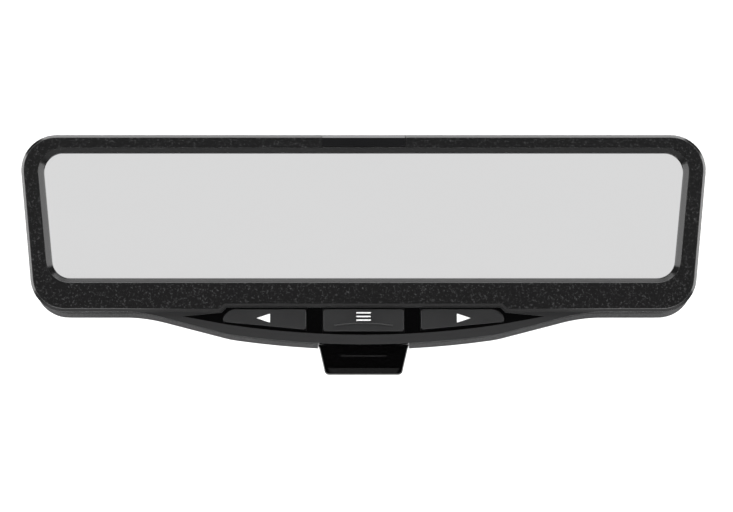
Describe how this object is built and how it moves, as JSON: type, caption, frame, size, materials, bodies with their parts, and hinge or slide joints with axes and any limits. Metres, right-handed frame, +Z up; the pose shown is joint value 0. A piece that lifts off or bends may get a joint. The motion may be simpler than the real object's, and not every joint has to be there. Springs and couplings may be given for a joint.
{
  "type": "rear-view mirror monitor",
  "caption": "Interior rear-view mirror with a built-in monitor: trapezoid bezel, curved control hump with push buttons, day and night tab, and a ball-jointed windshield bracket.",
  "frame": {"origin": "middle of the channel floor that seats on the windshield button", "axes": "+Z up, the glass faces -Y, +X to the right of someone looking into the mirror"},
  "size_m": [0.255, 0.0791, 0.089],
  "materials": {
    "textured_black": "fine grained moulded black",
    "shell_grey": "fine grained moulded grey",
    "mirror_coat": "two-way mirror coating",
    "gloss_black": "polished",
    "window_black": "smooth infrared-clear black",
    "button_grey": "satin",
    "display_black": "switched-off display",
    "light_unit_white": "moulded white",
    "foam_black": "closed-cell foam",
    "frame_steel": "plated sheet",
    "board_green": "solder mask",
    "chip_black": "moulded",
    "switch_metal": "plated",
    "socket_black": "moulded",
    "contact_brass": "plated",
    "screw_steel": "black zinc",
    "pin_steel": "ground",
    "nylon_white": "natural nylon",
    "toggle_black": "glass-filled nylon",
    "ball_steel": "turned",
    "bracket_black": "powder coat on zinc"
  },
  "bodies": {
    "mount": {"windshield_bracket": "bracket_black", "ball_stud": "ball_steel", "set_screw": "screw_steel"},
    "liner": {"ball_liner": "nylon_white"},
    "cup": {"friction_cup": "pin_steel"},
    "toggle": {"toggle_plate": "toggle_black", "socket_ring": "toggle_black", "ring_screws": "screw_steel"},
    "tab": {"day_night_tab": "gloss_black"},
    "left_key": {"left_button": "button_grey", "left_plunger": "nylon_white"},
    "menu_key": {"menu_button": "button_grey", "menu_plunger": "nylon_white"},
    "right_key": {"right_button": "button_grey", "right_plunger": "nylon_white"},
    "housing": {"front_bezel": "textured_black", "rear_cover": "shell_grey", "mirror_glass": "mirror_coat", "foam_tape": "foam_black", "lcd_panel": "display_black", "backlight_unit": "light_unit_white", "display_frame": "frame_steel", "main_board": "board_green", "main_board_parts": "chip_black", "board_screws": "screw_steel", "frame_screws": "screw_steel", "cover_screws": "screw_steel", "cable_socket": "socket_black", "socket_pins": "contact_brass", "sensor_window": "window_black", "sensor_board": "board_green", "light_sensors": "chip_black", "tact_switches": "switch_metal", "button_board": "board_green", "hinge_pin": "pin_steel", "lever_pin": "pin_steel", "lever_washers": "pin_steel"}
  },
  "joints": [
    {"name": "turn", "type": "hinge", "parent": "mount", "child": "liner", "pos_m": [0, -0.046, -0.014], "axis": [0, 0, 1], "range_deg": [-20, 20]},
    {"name": "nod", "type": "hinge", "parent": "liner", "child": "cup", "pos_m": [0, -0.046, -0.014], "axis": [1, 0, 0], "range_deg": [-12, 12]},
    {"name": "lean", "type": "hinge", "parent": "cup", "child": "toggle", "pos_m": [0, -0.046, -0.014], "axis": [0, 1, 0], "range_deg": [-10, 10]},
    {"name": "night_tilt", "type": "hinge", "parent": "toggle", "child": "housing", "pos_m": [0, -0.0525, 0], "axis": [1, 0, 0], "range_deg": [0, 4.5]},
    {"name": "tab_swing", "type": "hinge", "parent": "housing", "child": "tab", "pos_m": [0, -0.0525, -0.038], "axis": [1, 0, 0], "range_deg": [0, 30]},
    {"name": "press_left", "type": "slide", "parent": "housing", "child": "left_key", "axis": [0, 1, 0], "range_m": [0, 0.0006], "stiffness_N_per_m": 2500},
    {"name": "press_menu", "type": "slide", "parent": "housing", "child": "menu_key", "axis": [0, 1, 0], "range_m": [0, 0.0006], "stiffness_N_per_m": 2500},
    {"name": "press_right", "type": "slide", "parent": "housing", "child": "right_key", "axis": [0, 1, 0], "range_m": [0, 0.0006], "stiffness_N_per_m": 2500}
  ],
  "couplings": [
    {"joint": "tab_swing", "follows": "night_tilt", "ratio": 6.6666}
  ]
}
